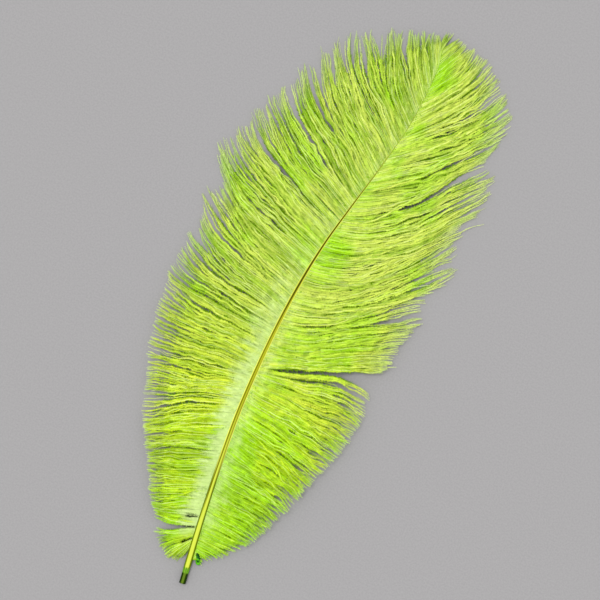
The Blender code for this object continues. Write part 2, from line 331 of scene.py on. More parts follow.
def grid_triangles(rows: int, columns: int, closed: bool) -> NDArray[np.int64]:
    """Two triangles for each cell of a grid of points whose columns may close into a ring.

    Args:
        rows: points along the grid.
        columns: points across it.
        closed: whether the last column meets the first.

    Returns:
        Point numbers, three to a triangle.
    """
    cells = columns if closed else columns - 1
    row, column = np.meshgrid(np.arange(rows - 1), np.arange(cells), indexing="ij")
    beside = (column + 1) % columns
    a, b = row * columns + column, row * columns + beside
    c, d = a + columns, b + columns
    return np.stack([a, b, d, a, d, c], -1).reshape(-1, 3)


def unit(vectors: Floats) -> Floats:
    """Vectors scaled to length one."""
    return vectors / np.maximum(np.linalg.norm(vectors, axis=-1, keepdims=True), TINY)


# ---------------------------------------------------------------- shader maths


class Socket:
    """A value in a material's node tree. Python arithmetic on it adds Math nodes."""

    def __init__(self, tree: "Shader", output: bpy.types.NodeSocket) -> None:
        """Wraps one output of a node."""
        self.tree = tree
        self.output = output

    def maths(self, operation: str, *values: "Socket | float") -> "Socket":
        """A Math node of that operation on the values."""
        return self.tree.node("ShaderNodeMath", {"operation": operation}, dict(enumerate(values)))

    def __add__(self, other: "Socket | float") -> "Socket":
        """self + other."""
        return self.maths("ADD", self, other)

    def __sub__(self, other: "Socket | float") -> "Socket":
        """self - other."""
        return self.maths("SUBTRACT", self, other)

    def __rsub__(self, other: "Socket | float") -> "Socket":
        """other - self."""
        return self.maths("SUBTRACT", other, self)

    def __mul__(self, other: "Socket | float") -> "Socket":
        """self * other."""
        return self.maths("MULTIPLY", self, other)

    def __abs__(self) -> "Socket":
        """The size of self."""
        return self.maths("ABSOLUTE", self)

    def cosine(self) -> "Socket":
        """The cosine of self, which is in radians."""
        return self.maths("COSINE", self)

    def axis(self, name: str) -> "Socket":
        """One axis of a place: X, Y or Z."""
        return self.tree.node("ShaderNodeSeparateXYZ", {}, {0: self}, name)

    def rise(self, low: float, high: float) -> "Socket":
        """0 where self is below low and 1 above high, with a soft step between. Low may be the larger."""
        return self.tree.node(
            "ShaderNodeMapRange",
            {"interpolation_type": "SMOOTHSTEP"},
            {"Value": self, "From Min": low, "From Max": high, "To Min": 0.0, "To Max": 1.0},
        )


class Shader:
    """A material's node tree with one Principled BSDF, built by expressions."""

    def __init__(self, name: str) -> None:
        """Starts a material of that name with an empty tree."""
        self.material = bpy.data.materials.new(name)
        self.material.use_nodes = True
        self.nodes = self.material.node_tree.nodes
        self.links = self.material.node_tree.links
        self.surface = self.nodes["Principled BSDF"]

    def put(self, socket: bpy.types.NodeSocket, value: "Socket | float | Colour") -> None:
        """Links a value to a socket, or sets the socket to it."""
        if isinstance(value, Socket):
            self.links.new(value.output, socket)
        elif isinstance(value, tuple) and socket.type == "RGBA":
            socket.default_value = (*value, 1.0)
        else:
            socket.default_value = value

    def node(
        self,
        kind: str,
        settings: dict[str, object],
        values: "dict[int | str, Socket | float | Colour]",
        output: int | str = 0,
    ) -> Socket:
        """Adds a node.

        Args:
            kind: the node's type.
            settings: its own options, which are set first.
            values: what its sockets hold or are linked to, by number or name.
            output: the output that is wanted.

        Returns:
            That output.
        """
        node = self.nodes.new(kind)
        for name, setting in settings.items():
            setattr(node, name, setting)
        for key, value in values.items():
            self.put(node.inputs[key], value)
        return Socket(self, node.outputs[output])

    def mix(self, share: "Socket | float", first: "Socket | Colour", second: "Socket | Colour") -> Socket:
        """The first colour where share is 0 and the second where it is 1."""
        return self.node("ShaderNodeMix", {"data_type": "RGBA"}, {0: share, 6: first, 7: second}, 2)

    def value(self, name: str) -> Socket:
        """A named value of the mesh's points."""
        return self.node("ShaderNodeAttribute", {"attribute_name": name}, {}, "Fac")

    def spot(self) -> Socket:
        """The place in the part's own frame."""
        return self.node("ShaderNodeTexCoord", {}, {}, "Object")

    def place(self, across: float = 1.0, along: float = 1.0) -> Socket:
        """The place on the bake map, stretched."""
        values = {0: self.node("ShaderNodeUVMap", {"uv_map": BAKE_MAP}, {}), 1: (across, along, 1.0)}
        return self.node("ShaderNodeVectorMath", {"operation": "MULTIPLY"}, values)

    def noise(self, vector: Socket, scale: float, detail: float) -> Socket:
        """Soft noise from 0 to 1 at a place."""
        values = {"Vector": vector, "Scale": scale, "Detail": detail}
        return self.node("ShaderNodeTexNoise", {}, values, "Fac")

    def finished(self, **inputs: "Socket | float | Colour") -> bpy.types.Material:
        """Sets the shader's inputs, whose names have _ for a space, and returns the material."""
        for name, value in inputs.items():
            self.put(self.surface.inputs[name.replace("_", " ")], value)
        return self.material


def srgb(red: int, green: int, blue: int) -> Colour:
    """A screen colour of 0 to 255 a channel as the linear colour that shaders take, by the sRGB standard."""
    levels = np.array((red, green, blue)) / 255
    linear = np.where(levels <= 0.04045, levels / 12.92, ((levels + 0.055) / 1.055) ** 2.4)
    return tuple(float(level) for level in linear)


def seen(red: int, green: int, blue: int) -> Colour:
    """The colour that looks so when it lies open under this studio's light."""
    return tuple(level / STUDIO_LIGHT for level in srgb(red, green, blue))


# ---------------------------------------------------------------- finishes


@dataclass(frozen=True)
class BarbFinish:
    """Dyed down: lime barbs, with painted shade between them and in clefts, painted highlights on the stems,
    and pale beside the shaft.
    """

    lime: Colour = srgb(220, 236, 36)
    soft_lime: Colour = srgb(211, 227, 94)
    green: Colour = srgb(172, 228, 12)
    # deep: darker strands of dye, and the painted shade at the fringe's points and on the lower barbs
    deep: Colour = srgb(122, 168, 8)
    # bright: the painted highlight on the stems
    bright: Colour = srgb(236, 247, 176)
    pale: Colour = srgb(209, 231, 153)
    tip: Colour = srgb(221, 236, 186)
    shadow: Colour = srgb(14, 34, 0)
    roughness: float = 0.7
    shine: float = 0.03
    streaks: Span = (400.0, 9.0)  # streaks along the barbs, in number across the bake map and along it
    patches: float = 34.0  # patches of richer dye, to the metre
    blotches: float = 240.0  # small blotches, to the metre
    upper: Span = (-0.06, 0.02)  # metres up the part over which the lower half's looks turn into the upper's
    upper_ends: Span = (0.74, 0.98)  # shares of a barb's length over which it turns pale, in the upper half
    lower_ends: Span = (0.93, 1.0)  # and in the lower
    stem: Span = (0.40, -0.25)  # from its fringe's root to its stem's crest, by the edge value, over which the painted highlight comes in
    blades: Span = (0.3, 1.0)  # and to its points, over which painted shade comes in

    def material(self) -> bpy.types.Material:
        """Colour from the tint of the strand, the place across the fringe and the distance from the shaft."""
        shader = Shader("dyed_barbs")
        names = ("tint", "edge", "pale", "green", "high", "stem_highlight", "hue", "cleft")
        tint, edge, pale, green, high, stem_highlight, hue, cleft = (shader.value(name) for name in names)
        along = shader.place().axis("Y")
        spot = shader.spot()
        upper = spot.axis("Y").rise(*self.upper)
        streak = shader.noise(shader.place(*self.streaks), 1.0, 2.0)
        patches = shader.noise(spot, self.patches, 1.0).rise(0.45, 0.68)
        blotches = shader.noise(spot, self.blotches, 3.0)
        # The dye is greener low on the feather, in patches, in some wisps and where pale is below 0
        rich = pale.rise(0.0, -0.5) * (patches * 0.35 + 0.3)
        greener = (green + rich + patches * 0.5 + hue * 0.22).rise(-0.2, 1.1)
        dyed = shader.mix(greener, shader.mix(high, self.lime, self.soft_lime), self.green)
        # Some strands took more of it; the tints also carry the right vane's painted light and the lower
        # barbs' painted shade, and painted shade deepens the fringe's points
        light = (tint * 0.75 + streak * 0.6 + blotches * 0.25 - 0.25).rise(0.0, 0.85)
        body = shader.mix(light, self.deep, dyed)
        shaded = shader.mix(edge.rise(*self.blades) * 0.4, body, self.deep)
        # Painted highlights lighten the stems, and the ends of barbs are paler, less so in the lower half
        painted_highlight = edge.rise(*self.stem) * (stem_highlight * 0.75 + 0.15) * (1 - upper * 0.2)
        crest = shader.mix(painted_highlight, shaded, self.bright)
        upper_ends = along.rise(*self.upper_ends) * upper * (green * 0.4 + 0.35)
        ends = upper_ends + along.rise(*self.lower_ends) * (1 - upper) * 0.4
        tipped = shader.mix(ends, crest, self.tip)
        # Down beside the shaft is pale, with a blotchy border
        down = (pale + (blotches - 0.5) * 0.9).rise(0.1, 1.05)
        downy = shader.mix(down * (streak * 0.3 + 0.75), tipped, self.pale)
        # Painted shade: near black green in the clefts beside the shaft and on the lower barbs
        cleft_shaded = shader.mix(cleft, downy, self.shadow)
        return shader.finished(Base_Color=cleft_shaded, Roughness=self.roughness, Specular_IOR_Level=self.shine)


@dataclass(frozen=True)
class HornFinish:
    """The shaft: a dark cut quill with a painted highlight, then bright yellow horn that turns olive, with a
    dark groove, a painted soft shadow and rims of painted light, green at the tip. A pair is the part of the
    shaft's length over which something begins, or ends if it runs downwards.
    """

    quill: Colour = seen(34, 60, 0)
    quill_highlight: Colour = seen(118, 150, 38)
    neck: Colour = seen(50, 124, 0)
    neck_light: Colour = seen(156, 206, 60)
    yellow: Colour = seen(230, 244, 82)
    olive: Colour = seen(184, 186, 30)
    # The rims' painted light: brighter than the horn's own colour, so that its steep sides look lit
    painted_rim_light: Colour = srgb(250, 246, 110)
    side: Colour = seen(122, 142, 2)
    groove: Colour = seen(122, 122, 0)
    dark: Colour = seen(66, 68, 0)
    green: Colour = seen(176, 202, 60)
    roughness: float = 0.5
    shine: float = 0.03
    grain: Span = (60.0, 8.0)  # in number across the bake map and along it
    fibres: Span = (90.0, 3.0)  # likewise
    neck_start: Span = (0.0185, 0.0215)
    horn_start: Span = (0.031, 0.034)
    olive_start: Span = (0.14, 0.34)
    broad_sides_end: Span = (0.24, 0.16)
    rim_start: Span = (0.17, 0.26)
    shadow_start: Span = (0.12, 0.2)
    shadow_end: Span = (0.42, 0.33)
    groove_start: Span = (0.10, 0.17)
    upper_start: Span = (0.40, 0.55)
    green_start: Span = (0.66, 0.84)

    def material(self) -> bpy.types.Material:
        """Colour from the place along the shaft and round it: 0.25 of the way round is its top, and less is
        to the right of it.
        """
        shader = Shader("horn_shaft")
        around, along = shader.place().axis("X"), shader.place().axis("Y")
        grain = shader.noise(shader.place(*self.grain), 1.0, 3.0)
        fibres = shader.noise(shader.place(*self.fibres), 1.0, 2.0)
        upper = along.rise(*self.upper_start)
        side = (around * math.tau).cosine()  # 1 at the right of the shaft, 0 on its top and -1 at the left
        horn = shader.mix(along.rise(*self.olive_start) * (fibres * 0.5 + 0.7), self.yellow, self.olive)
        # Its sides are dark and broad low down, and further up they carry rims of painted light, brighter
        # than the horn itself
        edges = (abs(side + 0.03) + along.rise(*self.broad_sides_end) * 0.18).rise(0.68, 0.80)
        rimmed = shader.mix(edges, horn, shader.mix(along.rise(*self.rim_start), self.side, self.painted_rim_light))
        # A painted soft shadow in the groove's colour lies right of the top, and left of it the groove, which
        # widens and darkens further up
        stretch = along.rise(*self.shadow_start) * along.rise(*self.shadow_end)
        shaded = shader.mix(abs(side - 0.55).rise(0.22, 0.08) * stretch * 0.7, rimmed, self.groove)
        line = abs(side + 0.42 - upper * 0.36) - upper * 0.22
        groove = line.rise(0.26, 0.12) * along.rise(*self.groove_start)
        grooved = shader.mix(groove, shaded, shader.mix(upper, self.groove, self.dark))
        tipped = shader.mix(along.rise(*self.green_start), grooved, self.green)
        # The cut quill has a painted highlight along its top, and uneven borders part it from its neck and
        # the horn
        lit = abs(around - 0.26).rise(0.09, 0.02) * grain.rise(0.2, 0.6)
        quill = shader.mix(lit, self.quill, self.quill_highlight)
        neck = shader.mix((grain + fibres).rise(0.8, 1.2), self.neck, self.neck_light)
        collared = shader.mix((along + grain * 0.004).rise(*self.neck_start), quill, neck)
        base = shader.mix((along + grain * 0.010).rise(*self.horn_start), collared, tipped)
        return shader.finished(Base_Color=base, Roughness=self.roughness, Specular_IOR_Level=self.shine)


@dataclass(frozen=True)
class StubFinish:
    """The small cut stub: dark wet green with a lighter face, and painted shade darkening its upper end."""

    dark: Colour = srgb(8, 70, 0)
    light: Colour = srgb(84, 176, 8)
    roughness: float = 0.5
    shine: float = 0.12
    blotches: Span = (4.0, 5.0)  # in number across the bake map and along it

    def material(self) -> bpy.types.Material:
        """Green in soft blotches, lighter towards the stub's lower end, with painted shade darkening its
        upper end under the barbs.
        """
        shader = Shader("green_stub")
        blotches = shader.noise(shader.place(*self.blotches), 1.0, 2.0)
        # Painted shade: the stub darkens towards its upper end, under the barbs
        light = (blotches - shader.place().axis("Y") * 0.6).rise(0.16, 0.34)
        green = shader.mix(light, self.dark, self.light)
        return shader.finished(Base_Color=green, Roughness=self.roughness, Specular_IOR_Level=self.shine)


@dataclass(frozen=True)
class FloorFinish:
    """A plain pale grey sheet with a fine grain."""

    grey: Colour = (0.304, 0.297, 0.300)
    dark: Colour = (0.277, 0.270, 0.273)
    roughness: float = 0.85
    specks: float = 900.0  # to the metre

    def material(self) -> bpy.types.Material:
        """Grey with fine specks."""
        shader = Shader("pale_grey_sheet")
        specks = shader.noise(shader.spot(), self.specks, 3.0).rise(0.3, 0.7)
        return shader.finished(Base_Color=shader.mix(specks, self.dark, self.grey), Roughness=self.roughness)


# ---------------------------------------------------------------- the barbs


STIR = Change(0, 1, 5, 35)  # how freely a stem is moved aside, by the millimetres from its root
CALM = Change(0, 0.85, 0.45, 0.75)  # share of the slits' push that a loose wisp loses, by the way along it
GATHER = Change(0, 1, 0, 8)  # how far a strand has drawn together, by the millimetres from the shaft
RISE = Change(0, 1, 0, 9)  # how far stems have risen from the shaft's side to their own height
ROOT_DEPTH = 0.7  # share of the shaft's radius at which stems start, from its middle
ROOT_HEIGHT = 0.3  # millimetres by which a stem stands above the solid's middle at its root
OWN_HEIGHT = 0.9  # and what it gains as it rises
STEM_FLOOR = 0.7  # least height of a stem above the floor
BLADE_FLOOR = 0.15  # and of a barbule
DRAW_POWER = 4  # a tip is drawn into its wisp late along the barb
CURL_START = 0.5  # share of a barb's length from which it curls


@dataclass(frozen=True)
class Ripples:
    """A smooth random field over a vane, from waves of random length and heading."""

    seed: int
    height: float  # its usual size
    root_size: float  # millimetres along the shaft over which it changes
    away_size: float  # millimetres along a barb over which it changes
    waves: int = 24

    def at(self, roots: Floats, away: Floats) -> Floats:
        """The field's values: the sum of sines of a·root + b·away + c, whose a, b and c are drawn at random.

        Args:
            roots: heights up the feather at which the barbs leave the shaft.
            away: distance along the barb, for each barb and place.

        Returns:
            A value for each barb and place.
        """
        rng = np.random.default_rng(self.seed)
        by_root = rng.normal(0, 1 / self.root_size, self.waves)
        by_away = rng.normal(0, 1 / self.away_size, self.waves)
        start = rng.uniform(0, 2 * np.pi, self.waves)
        phase = roots[:, None, None] * by_root + away[:, :, None] * by_away + start
        return self.height * math.sqrt(2 / self.waves) * np.sin(phase).sum(2)


@dataclass
class Barbs:
    """The barbs of one side. Each row of an array is a barb."""

    side: Side
    roots: Floats  # x, y and height
    aims: Floats  # x and y
    shifts: Floats  # x and y, by which the tips are drawn aside into their wisps
    leans: Floats
    ends: Floats
    gathers: Floats  # millimetres along the shaft to the middle of its strand
    lifts: Floats
    curls: Floats  # millimetres by which the outer half bends aside
    rises: Floats  # millimetres above the vane
    fullness: Floats  # of its fringe
    tints: Floats
    hues: Floats  # below 0 more yellow, above 0 more green
    stem_highlights: Floats
    bands: Floats  # millimetres by which the pale band beside the shaft is wider
    clefts: Floats  # how deep in a cleft's painted shade it starts
    loose: Floats  # how much its wisp stands apart from the next

    def part(self, chosen: NDArray[np.bool_]) -> "Barbs":
        """Some of the barbs."""
        rows = {field.name: getattr(self, field.name) for field in fields(self) if field.name != "side"}
        return replace(self, **{name: row[chosen] for name, row in rows.items()})

    def heading(self, degrees: Floats) -> Floats:
        """Level directions at angles above straight out, for each barb."""
        turn = np.radians(degrees)
        return np.stack([self.side.value * np.cos(turn), np.sin(turn)], 1)[:, None]

    def lengths(self) -> Floats:
        """Straight distance from each root to its aim."""
        return np.linalg.norm(self.aims - self.roots[:, :2], axis=1)

    def lines(self, shares: Floats, slits: Ripples | None, sway: Ripples, ruffle: Ripples) -> Floats:
        """The stems: cubics that leave the roots at their lean and reach their aims at their own end angle,
        drawn together in strands and moved aside by the ripples and the curl, at the heights that heights()
        gives.

        Args:
            shares: places along each stem, from 0 at its root to 1 at its tip.
            slits: the small ripples that part neighbours, or none.
            sway: the large ripples that push the stems aside.
            ruffle: the small ripples that lift and lower them.

        Returns:
            Millimetres in the plan, for each barb and place.
        """
        t = shares[None, :, None]
        length = self.lengths()
        start, aim = self.roots[:, None, :2], self.aims[:, None]
        near = start + LEAVE_REACH * length[:, None, None] * self.heading(self.leans)
        far = aim - ARRIVE_REACH * length[:, None, None] * self.heading(self.ends)
        plan = (1 - t) ** 3 * start + 3 * t * (1 - t) ** 2 * near + 3 * t**2 * (1 - t) * far + t**3 * aim
        plan = plan + t**DRAW_POWER * self.shifts[:, None]
        heading = unit(aim - start)
        across = np.stack([-heading[:, :, 1], heading[:, :, 0]], 2)
        t = t[:, :, 0]
        away = t * length[:, None]
        ys = self.roots[:, 1]
        aside = sway.at(ys, away)
        if slits:
            aside += slits.at(ys, away) * (1 - CALM.at(t) * self.loose[:, None])
        aside *= STIR.at(away)
        aside += self.curls[:, None] * np.clip((t - CURL_START) / (1 - CURL_START), 0, 1) ** 2
        plan = plan + aside[:, :, None] * across
        plan[:, :, 1] += self.gathers[:, None] * GATHER.at(away) * (1 - t)
        return np.concatenate([plan, self.heights(t, ruffle.at(ys, away), RISE.at(away))[:, :, None]], 2)

    def heights(self, t: Floats, lifted: Floats, risen: Floats) -> Floats:
        """Heights of the stems above the floor: the solid's droop from the shaft to the vane's edge, which is
        1 - (t / DROOP_END)^DROOP_POWER, and their own height above it.

        Args:
            t: places along each stem, from 0 to 1.
            lifted: millimetres by which the ripples lift the stems at each place.
            risen: how far they have risen from the shaft's side there.

        Returns:
            Millimetres for each barb and place.
        """
        lift = self.lifts[:, None]
        droop = 1 - np.clip(t / DROOP_END, 0, 1) ** DROOP_POWER
        height = lift + (self.roots[:, 2][:, None] - lift) * droop + ROOT_HEIGHT
        return np.maximum(height + (OWN_HEIGHT + self.rises[:, None] + lifted) * risen, STEM_FLOOR)


@dataclass(frozen=True)
class Dice:
    """Random draws for the barbs of one side: alike within a wisp, or each barb's own."""

    rng: np.random.Generator
    ys: Floats  # height up the feather at which each barb leaves the shaft
    loose: Floats  # how loose the vane is there
    fluff: Floats  # how much fluff it has there
    wisp: NDArray[np.int64]  # the number of each barb's wisp, from 0 on

    @property
    def wisps(self) -> int:
        """How many wisps there are."""
        return self.wisp[-1] + 1

    def some(self, share: Floats | float) -> NDArray[np.bool_]:
        """Picks about that share of the barbs."""
        return self.rng.random(len(self.wisp)) < share

    def level(self, low: float, high: float) -> Floats:
        """Anything from low to high, for each barb."""
        return self.rng.uniform(low, high, len(self.wisp))

    def level_wisps(self, low: float, high: float) -> Floats:
        """Anything from low to high for each wisp, given to each of its barbs."""
        return self.rng.uniform(low, high, self.wisps)[self.wisp]

    def bell(self, size: Floats | float) -> Floats:
        """A normal draw of that usual size, for each barb."""
        return self.rng.normal(0, 1, len(self.wisp)) * size

    def bell_wisps(self, size: Floats | float) -> Floats:
        """A normal draw of that usual size for each wisp, given to each of its barbs."""
        return self.rng.normal(0, 1, self.wisps)[self.wisp] * size


@dataclass(frozen=True)
class Habit:
    """How barbs differ from one another. A pair is the least and the most of a level draw. A grade goes by
    how loose the vane is there or how much fluff it has, and a change by the height. Any other number is the
    usual size of a difference, unless its comment says more. Lengths are in millimetres, angles in degrees.
    """

    root: Span = (-0.2, 0.2)  # along the shaft
    nearer: float = 0.05  # share of a lock by which barbs mistake the nearer of two tips
    crossing: float = 0.3  # share of the barbs that keep out of their wisp and cross the gaps
    crossing_draw: Span = (-0.6, 0.5)  # how far they are drawn to their wisp's middle
    draw: Span = (0.8, 1.05)  # and how far the others are
    drawn: Grade = Grade(0.1, 1.15)  # share of that draw, by looseness
    wisp_middle: float = 0.7  # where the vane is loose
    tip: Grade = Grade(0.25, 0.6)  # by fluff
    wisp_short: float = 0.025  # share of the length
    short: float = 0.015  # share of the length
    broken: Grade = Grade(0.10, 0.3)  # share of the barbs that end early, by fluff
    broken_off: Span = (0.05, 0.30)  # share of their length that they lack
    beyond: Grade = Grade(2.0, 1.2)  # how far the longest barbs reach past the outline, by looseness
    beyond_tip: Change = Change(1.0, 0.3, 330, 360)  # share of that near the feather's tip
    stray: float = 0.08  # share of the barbs that stray
    stray_aside: float = 0.07  # share of the length
    stray_rise: float = 4.0  # how high a barb lies that strays by its whole length
    wisp_lean: float = 0.6
    lean: Grade = Grade(0.8, 2.0)  # by fluff
    wisp_end: Grade = Grade(1.5, 4.0)  # by looseness
    end: Grade = Grade(1.5, 10.0)  # by fluff
    gather: float = 0.25  # share of the way to the middle of its wisp's roots that a strand draws together
    gather_own: float = 0.12
    wisp_curl: Change = Change(1.54, 2.86, 270, 310)  # where the vane is loose
    curl: float = 0.3
    wisp_rise: Span = (-0.25, 0.35)
    rise: float = 0.25
    thin: float = 0.12  # share of the barbs whose fringe is thin
    thin_fullness: Span = (0.3, 0.55)
    fullness: Span = (0.8, 1.15)
    full: Change = Change(1.1, 0.85, 120, 220)  # how full the fringes are along the feather
    full_tip: Change = Change(0.0, -0.15, 320, 370)  # and by how much less near its tip
    wisp_tint: Span = (0.0, 0.45)
    tint: Span = (0.0, 0.55)
    thin_tint: float = 0.2  # how much lighter thin barbs are
    wisp_hue: Span = (-1.0, 1.0)
    hue: Span = (-0.5, 0.5)
    glossy: float = 0.35  # share of the barbs whose stem has a painted highlight
    stem_highlight: Span = (0.5, 1.0)
    fluff_highlight: Grade = Grade(1.0, -0.6)  # share of that painted highlight, by fluff
    wisp_band: float = 2.2
    band: float = 1.2
    cleft_depth: float = 2.0  # darkness of a cleft's painted shade, of which all above 1 is black
    cleft_width: float = 0.5  # along the shaft


@dataclass(frozen=True)
class Vane:
    """One side's barbs, drawn at random round the locks that the solid has."""

    side: Side
    locks: tuple[Lock, ...]
    leans: Table
    ends: Table
    lifts: Table
    first_root: float
    seed: int
    spacings: Table  # millimetres along the shaft from one barb to the next
    strands: Table  # barbs in a wisp
    looseness: Table  # how far wisps stand apart, from 0 to 1
    fluff: Table  # how untidy the barbs are, from 0 to 1
    tone_and_painted_light: Change  # added to the tints: a change of tone on the left, and on the right painted light that makes up for the key light that the right vane's slope turns away
    clefts: tuple[float, ...] = ()  # heights up the feather of the short clefts beside the shaft, darkened with painted shade
    last_root: float = 374.0
    samples: int = 2000  # heights at which the spacings are added up
    habit: Habit = Habit()
    overhang: float = 0.4  # share of a lock by which barbs may aim past the first or the last tip
    parting: Span = (21.0, 35.0)  # depths of gap over which barbs come to part to its two sides
    parted: float = 0.95  # share of the way to the nearer tip that they part at most
    split: float = 29.0  # a deeper gap than this opens from near the shaft
    dip: Span = (3.0, 19.0)  # depths of gap over which barbs between two tips come to draw back
    dip_share: float = 0.33  # how far they do, as a share of the depth past the first of those
    parted_dip: Grade = Grade(1.0, -0.7)  # share of that, by how far they part

    def barbs(self) -> Barbs:
        """Draws every barb of the side. Some neighbours share a wisp, whose barbs end close together."""
        dice, habit = self.dice(), self.habit
        ys, loose, fluff = dice.ys, dice.loose, dice.fluff
        roots = self.on_shaft(ys)
        aims, shifts = self.drawn(dice)
        aims, stray = self.trimmed(roots, aims, dice)
        thin = dice.some(habit.thin)
        middle = (np.bincount(dice.wisp, ys) / np.bincount(dice.wisp))[dice.wisp]
        return Barbs(
            side=self.side,
            roots=roots,
            aims=aims,
            shifts=shifts,
            leans=read(self.leans, ys) + dice.bell_wisps(habit.wisp_lean) + dice.bell(habit.lean.at(fluff)),
            ends=read(self.ends, ys)
            + dice.bell_wisps(habit.wisp_end.at(loose))
            + dice.bell(habit.end.at(fluff)),
            gathers=habit.gather * (middle - ys) + dice.bell(habit.gather_own),
            lifts=read(self.lifts, ys),
            curls=(dice.bell_wisps(habit.wisp_curl.at(ys)) + dice.bell(habit.curl)) * loose,
            rises=dice.level_wisps(*habit.wisp_rise)
            + dice.bell(habit.rise)
            + habit.stray_rise * np.abs(stray),
            fullness=np.where(thin, dice.level(*habit.thin_fullness), dice.level(*habit.fullness))
            * (habit.full.at(ys) + habit.full_tip.at(ys)),
            tints=self.tints(thin, dice),
            hues=dice.level_wisps(*habit.wisp_hue) + dice.level(*habit.hue),
            stem_highlights=dice.some(habit.glossy) * dice.level(*habit.stem_highlight) * habit.fluff_highlight.at(fluff),
            bands=dice.bell_wisps(habit.wisp_band) + dice.bell(habit.band),
            clefts=self.darkened(ys),
            loose=loose,
        )

    def dice(self) -> Dice:
        """Places the side's barbs along the shaft, about one spacing apart, and shares them out to wisps."""
        rng = np.random.default_rng(self.seed)
        fine = np.linspace(self.first_root, self.last_root, self.samples)
        passed = np.cumsum((fine[1] - fine[0]) / read(self.spacings, fine))
        ys = np.interp(np.arange(1, int(passed[-1])), passed, fine)
        ys = np.sort(ys + rng.uniform(*self.habit.root, len(ys)))
        wisps = np.floor(np.cumsum(rng.exponential(1, len(ys)) / read(self.strands, ys)))
        numbers = np.unique(wisps, return_inverse=True)[1]
        return Dice(rng, ys, read(self.looseness, ys), read(self.fluff, ys), numbers)

    def on_shaft(self, ys: Floats) -> Floats:
        """Where barbs leave the shaft's side, as x, y and height."""
        x, height, radius = smooth(SHAFT_LINE, ys).T
        return np.stack([x + self.side.value * ROOT_DEPTH * radius, ys, height], 1)

    def aims(self, dice: Dice) -> tuple[Floats, Floats]:
        """Where barbs head for, before their own differences. Between two locks it is a place on the line
        from one tip to the next, drawn back by part of the gap, but at a deep gap it is the nearer tip.

        Args:
            dice: the barbs' places, and the draws by which they take one tip to be the nearer.

        Returns:
            The places, and how far their tips are drawn from there to the nearer lock at a shallower gap.
        """
        ys = dice.ys
        roots = np.array([lock.root for lock in self.locks], float)
        tips = np.array([(lock.tip_x, lock.tip_y) for lock in self.locks], float)
        gaps = np.array([lock.gap for lock in self.locks], float)
        lock = np.clip(np.searchsorted(roots, ys) - 1, 0, len(roots) - 2)
        share = (ys - roots[lock]) / (roots[lock + 1] - roots[lock])
        share = np.clip(share, -self.overhang, 1 + self.overhang)
        gap = gaps[lock]
        parting = np.clip((gap - self.parting[0]) / (self.parting[1] - self.parting[0]), 0, self.parted)
        nearer = (share > 0.5 + dice.bell(self.habit.nearer)).astype(float)
        early = parting * (gap > self.split)
        step = tips[lock + 1] - tips[lock]
        aims = tips[lock] + (share + early * (nearer - share))[:, None] * step
        depth = self.dip_share * (np.clip(gap, *self.dip) - self.dip[0]) * self.parted_dip.at(parting)
        depth *= np.sin(np.pi * np.clip(share, 0, 1))
        late = ((parting - early) * (nearer - share))[:, None] * step
        return aims + unit(self.on_shaft(ys)[:, :2] - aims) * depth[:, None], late

    def drawn(self, dice: Dice) -> tuple[Floats, Floats]:
        """Where the barbs head for, and how far their tips are moved from there, together in their wisps."""
        habit, wisp = self.habit, dice.wisp
        aims, late = self.aims(dice)
        middles = np.stack([np.bincount(wisp, aims[:, axis]) / np.bincount(wisp) for axis in (0, 1)], 1)
        softness = dice.loose[np.searchsorted(wisp, np.arange(dice.wisps))][:, None]
        middles += dice.rng.normal(0, habit.wisp_middle, middles.shape) * softness
        crosses = dice.some(habit.crossing)
        draw = np.where(crosses, dice.level(*habit.crossing_draw), dice.level(*habit.draw))
        shifts = (draw * habit.drawn.at(dice.loose))[:, None] * (middles[wisp] - aims)
        shifts += dice.rng.normal(0, 1, aims.shape) * habit.tip.at(dice.fluff)[:, None]
        return aims, shifts + late * ~crosses[:, None]

    def trimmed(self, roots: Floats, aims: Floats, dice: Dice) -> tuple[Floats, Floats]:
        """Makes some barbs shorter or longer than their lock, breaks some off and lets some stray aside.

        Args:
            roots: where the barbs leave the shaft.
            aims: where they head for.
            dice: draws the differences.

        Returns:
            The new aims, and how far each barb strays as a share of its length.
        """
        habit = self.habit
        back = roots[:, :2] - aims
        short = np.abs(dice.bell_wisps(habit.wisp_short)) + np.abs(dice.bell(habit.short))
        broken = dice.some(habit.broken.at(dice.fluff)) * dice.level(*habit.broken_off)
        beyond = habit.beyond.at(dice.loose) * habit.beyond_tip.at(dice.ys) / np.linalg.norm(back, axis=1)
        stray = dice.some(habit.stray) * dice.bell(habit.stray_aside)
        aside = np.stack([-back[:, 1], back[:, 0]], 1)
        short = short * dice.loose + broken - beyond
        return aims + back * short[:, None] + aside * stray[:, None], stray

    def tints(self, thin: NDArray[np.bool_], dice: Dice) -> Floats:
        """How light each barb is, from 0 to 1: its own tone, with the side's tone and painted light added."""
        habit = self.habit
        own = dice.level_wisps(*habit.wisp_tint) + dice.level(*habit.tint)
        return np.clip(own + habit.thin_tint * thin + self.tone_and_painted_light.at(dice.ys), 0, 1)

    def darkened(self, ys: Floats) -> Floats:
        """How deep in a cleft's painted shade each barb starts: a bell curve round each cleft."""
        away = ys[:, None] - np.array(self.clefts)
        return self.habit.cleft_depth * np.exp(-((away / self.habit.cleft_width) ** 2)).sum(1)


class Band(NamedTuple):
    """The dye beside the shaft on one side. Distances are in millimetres, and changes go by the height."""

    reach: Change  # how far from the shaft it is palest
    pale: Change  # how pale it is there
    rich: Change  # how much richer than elsewhere it is instead
    green: Change  # how much greener all of the vane is


